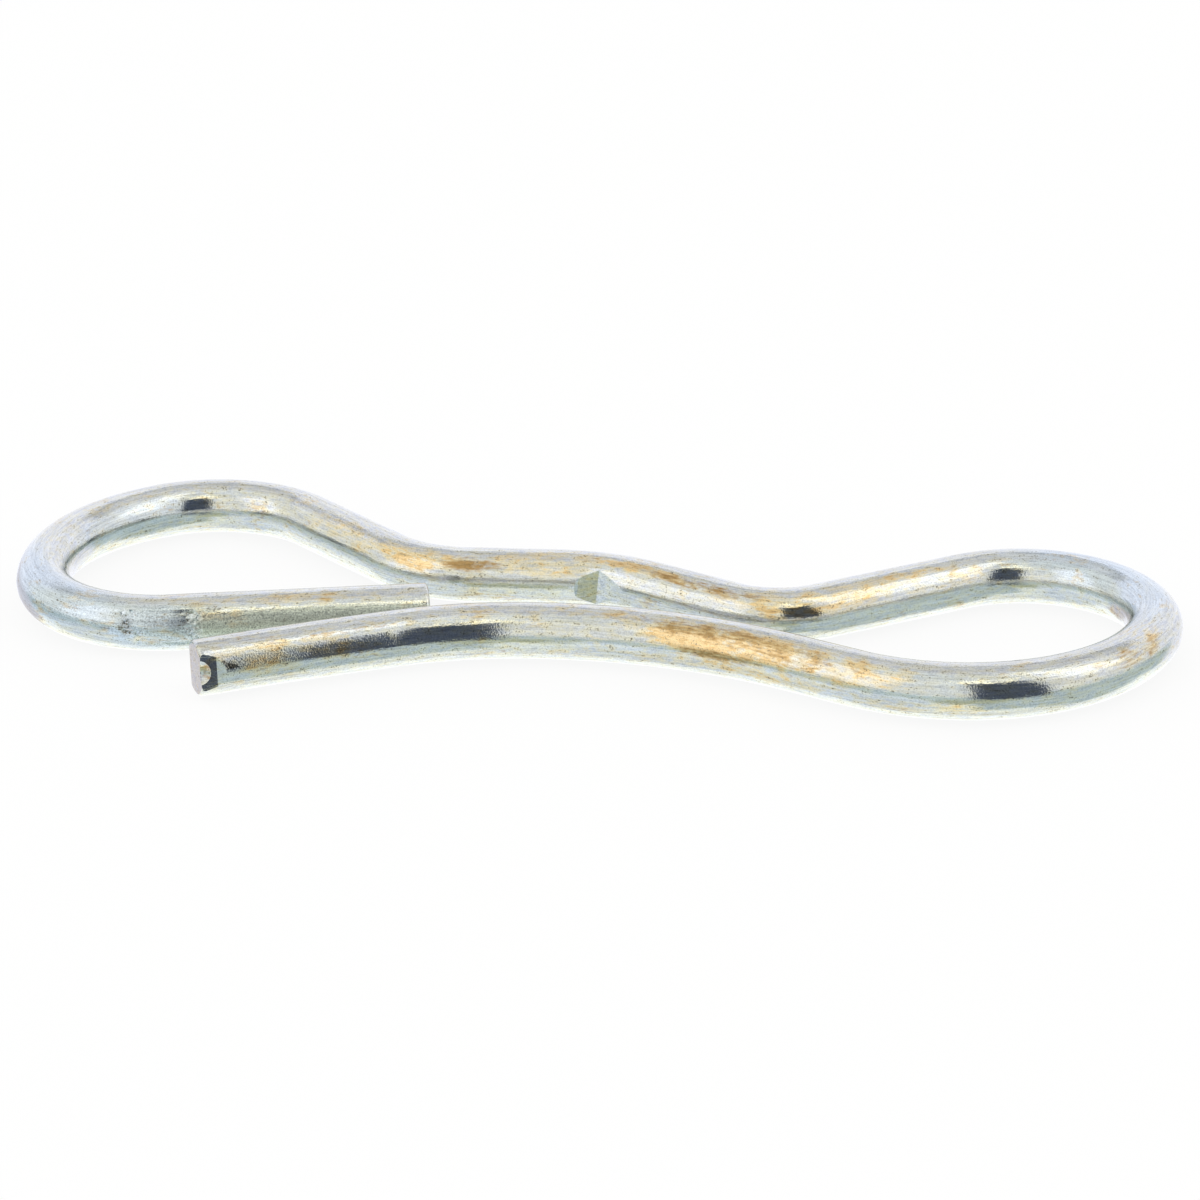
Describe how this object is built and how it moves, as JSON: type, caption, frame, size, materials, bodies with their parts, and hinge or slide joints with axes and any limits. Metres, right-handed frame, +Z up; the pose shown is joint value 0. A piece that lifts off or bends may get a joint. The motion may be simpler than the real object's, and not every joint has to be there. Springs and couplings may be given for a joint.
{
  "type": "cotter pin",
  "caption": "Bow-tie locking cotter of round spring wire: a rear strand with a saddle, a loop at each end, a short leg and a front strand with a flared tip.",
  "frame": {"origin": "middle of the bounding box, on the plane the wire lies on", "axes": "+X along the cotter from the left loop to the right loop, +Y from the front strand to the rear strand, +Z up from the plane it lies on"},
  "size_m": [0.0946, 0.0383, 0.0045],
  "materials": {
    "zinc_plate": "bright zinc plate with a clear passivate that shows yellow and brown tints at the bends, over drawn spring wire"
  },
  "bodies": {
    "root": {"wire": "zinc_plate"}
  },
  "joints": []
}
